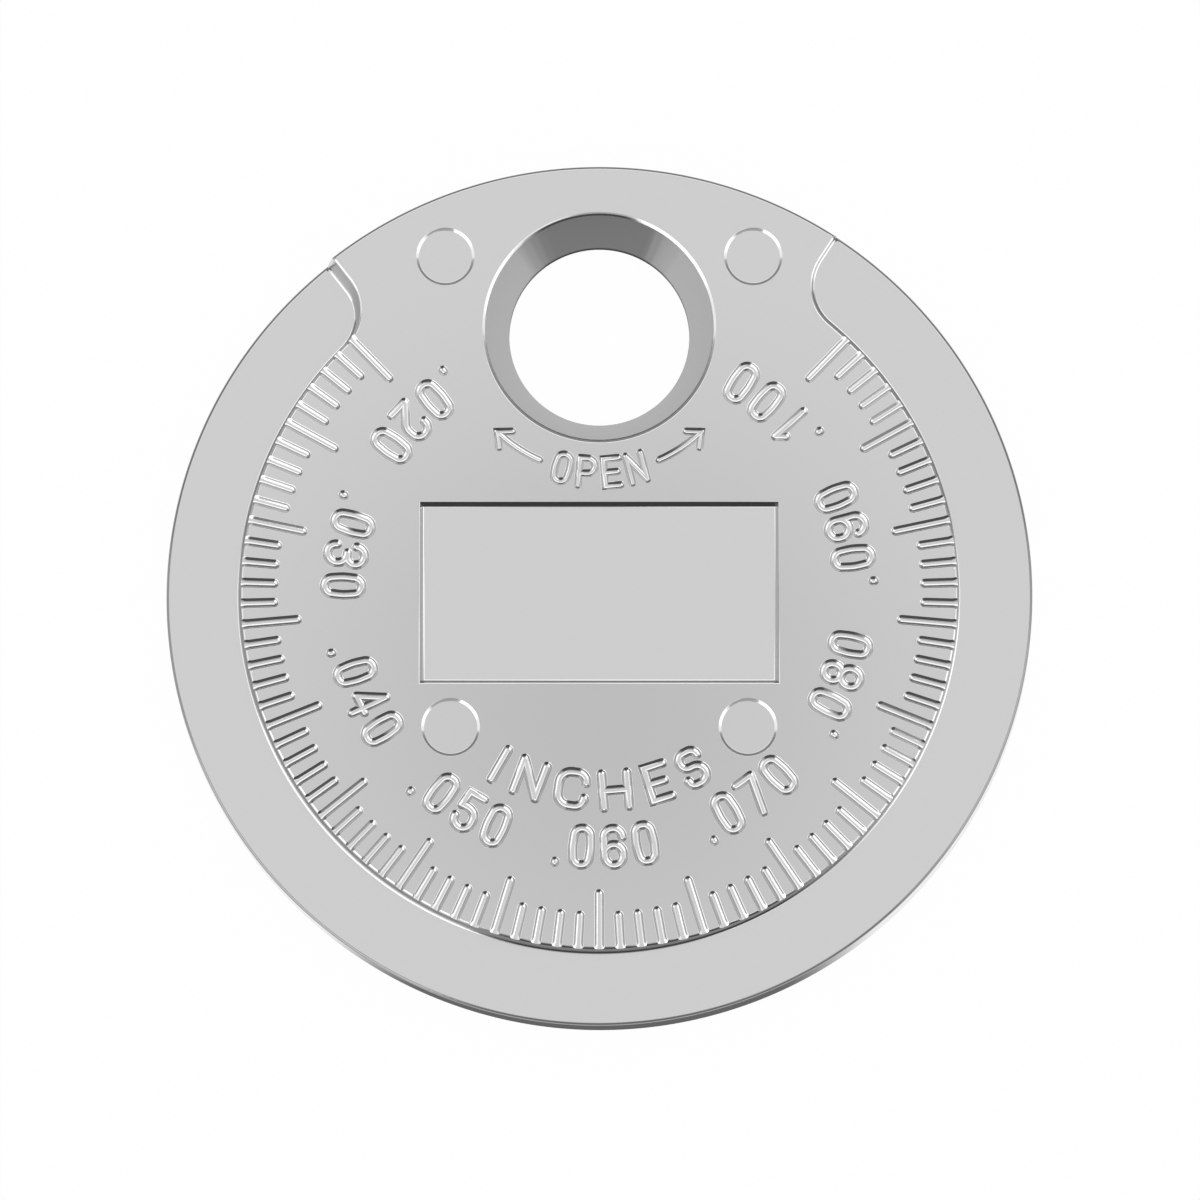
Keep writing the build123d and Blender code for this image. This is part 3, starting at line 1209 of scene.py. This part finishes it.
def floor_material(stage):
    """Pale floor that is seen as white and keeps a shadow."""
    material = bpy.data.materials.new("studio_floor")
    nodes = Nodes(material, "ShaderNodeOutputMaterial")
    share = nodes.multiply(seen_or_mirrored(nodes), stage.floor_white)
    plain = nodes.add("ShaderNodeBsdfDiffuse", {"Color": (*stage.floor_colour, 1)})
    floor = nodes.mix_shaders(share, plain, nodes.add("ShaderNodeEmission"))
    # From below the floor is clear, so that the millimetre face can be looked at
    below = nodes.add("ShaderNodeNewGeometry").outputs["Backfacing"]
    clear = nodes.add("ShaderNodeBsdfTransparent")
    nodes.finish(nodes.mix_shaders(below, floor, clear))
    return material


# Stage


def set_world(stage):
    """Room: white where it is seen or mirrored, and a fifth darker where it only lights."""
    world = bpy.data.worlds.new("studio_room")
    bpy.context.scene.world = world
    nodes = Nodes(world, "ShaderNodeOutputWorld")
    room, white = (
        nodes.add("ShaderNodeBackground", {"Color": (1, 1, 1, 1), "Strength": strength})
        for strength in (0.8 * stage.room_strength, stage.room_strength)
    )
    nodes.finish(nodes.mix_shaders(seen_or_mirrored(nodes), room, white))


def overhead_box(brightness, width=1.2, height=1.5):
    """Square area light above the disc, with a given brightness of its face."""
    light = bpy.data.lights.new("overhead_box", "AREA")
    light.size = width
    light.energy = brightness * math.pi * width * width
    item = bpy.data.objects.new("overhead_box", light)
    bpy.context.scene.collection.objects.link(item)
    item.location = (0, 0, height)
    item.visible_camera = False
    item.visible_glossy = False


# Cards that the metal mirrors: direction, spread, lower edge and upper edge, in degrees as seen
# from the disc, and brightness
CARDS = (
    ("left_card", 218, 54, 0, 48, 1.75),
    ("right_card", 347, 34, 0, 50, 1.5),
    ("upper_right_card", 317, 54, 42, 60, 1.15),
    ("front_card", 282.5, 75, 0, 40, 0.42),
    ("upper_front_card", 268, 44, 40, 54, 0.42),
    ("low_back_card", 90, 146, 0, 36, 0.4),
    ("back_card", 85, 90, 36, 66, 1.28),
)
CARD_DISTANCE = 0.4


def card(name, direction, spread, low, high, brightness):
    """Curved card beside the disc, which the metal mirrors. The camera doesn't see it."""
    direction, spread, low, high = map(math.radians, (direction, spread, low, high))
    bm = bmesh.new()
    verts, edges = chain(bm, [
        on_circle(
            CARD_DISTANCE * math.cos(angle), direction - spread / 2,
            CARD_DISTANCE * math.sin(angle))
        for angle in (low, high)
    ])
    bmesh.ops.spin(
        bm, geom=verts + edges, cent=(0, 0, 0), axis=(0, 0, 1), angle=spread, steps=24)
    item = new_object(mesh_from(bm, name), name)
    material = bpy.data.materials.new(name)
    nodes = Nodes(material, "ShaderNodeOutputMaterial")
    nodes.finish(nodes.add("ShaderNodeEmission", {"Color": (*grey(brightness), 1)}))
    item.data.materials.append(material)
    item.visible_camera = False
    item.visible_diffuse = False
    item.visible_shadow = False


# Operators and panel


class GAUGE_OT_disc(Operator):
    """Make the cast disc with its ramp, hole, panel, scales, figures and words"""

    bl_idname = "gap_gauge.make_disc"
    bl_label = "Make disc"

    def execute(self, context):
        scene = context.scene
        item = finished_disc(scene.gauge_disc, scene.gauge_recess, scene.gauge_engraving)
        item.data.materials.clear()
        item.data.materials.append(
            plated_casting(scene.gauge_finish, scene.gauge_disc, scene.gauge_recess))
        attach(item, "root")
        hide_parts(NODE)
        return {"FINISHED"}


class GAUGE_OT_stage(Operator):
    """Set the floor, the light and the camera"""

    bl_idname = "gap_gauge.set_stage"
    bl_label = "Set stage"

    def execute(self, context):
        scene = context.scene
        stage = scene.gauge_stage
        scene.view_settings.view_transform = "Standard"

        # The floor lies a hair under the disc, so that the two don't coincide
        bm = bmesh.new()
        bmesh.ops.create_grid(bm, x_segments=1, y_segments=1, size=3.0)
        bmesh.ops.translate(bm, verts=bm.verts, vec=(0, 0, -0.00002))
        floor = new_object(mesh_from(bm, "floor"), "floor")
        floor.data.materials.append(floor_material(stage))

        set_world(stage)
        overhead_box(stage.overhead_strength)
        for values in CARDS:
            card(*values)

        camera = bpy.data.cameras.new("camera")
        camera.lens = camera.sensor_width * stage.camera_distance / stage.frame_width
        camera.clip_end = 100
        viewer = bpy.data.objects.new("camera", camera)
        scene.collection.objects.link(viewer)
        ray = Vector((0, -math.sin(stage.camera_tilt), math.cos(stage.camera_tilt)))
        viewer.location = Vector(stage.aim) + stage.camera_distance * ray
        viewer.rotation_euler = (stage.camera_tilt, 0, 0)
        scene.camera = viewer
        return {"FINISHED"}


class GAUGE_PT_panel(Panel):
    """Settings of the gap gauge in the 3D view's sidebar"""

    bl_label = "Gap gauge"
    bl_idname = "GAUGE_PT_panel"
    bl_space_type = "VIEW_3D"
    bl_region_type = "UI"
    bl_category = "Gap gauge"

    def draw(self, context):
        for key, settings in SETTINGS.items():
            box = self.layout.box()
            for name in settings.__annotations__:
                box.prop(getattr(context.scene, key), name)
        self.layout.operator(GAUGE_OT_disc.bl_idname)
        self.layout.operator(GAUGE_OT_stage.bl_idname)


SETTINGS = {
    "gauge_disc": DiscSizes,
    "gauge_recess": RecessSizes,
    "gauge_engraving": EngravingSizes,
    "gauge_finish": FinishSettings,
    "gauge_stage": StageSettings,
}
CLASSES = (*SETTINGS.values(), GAUGE_OT_disc, GAUGE_OT_stage, GAUGE_PT_panel)


def register():
    for item in CLASSES:
        bpy.utils.register_class(item)
    for key, settings in SETTINGS.items():
        setattr(bpy.types.Scene, key, PointerProperty(type=settings))


def unregister():
    for key in SETTINGS:
        delattr(bpy.types.Scene, key)
    for item in reversed(CLASSES):
        bpy.utils.unregister_class(item)


def main():
    register()
    bpy.ops.gap_gauge.make_disc()
    bpy.ops.gap_gauge.set_stage()


if __name__ == "__main__":
    main()
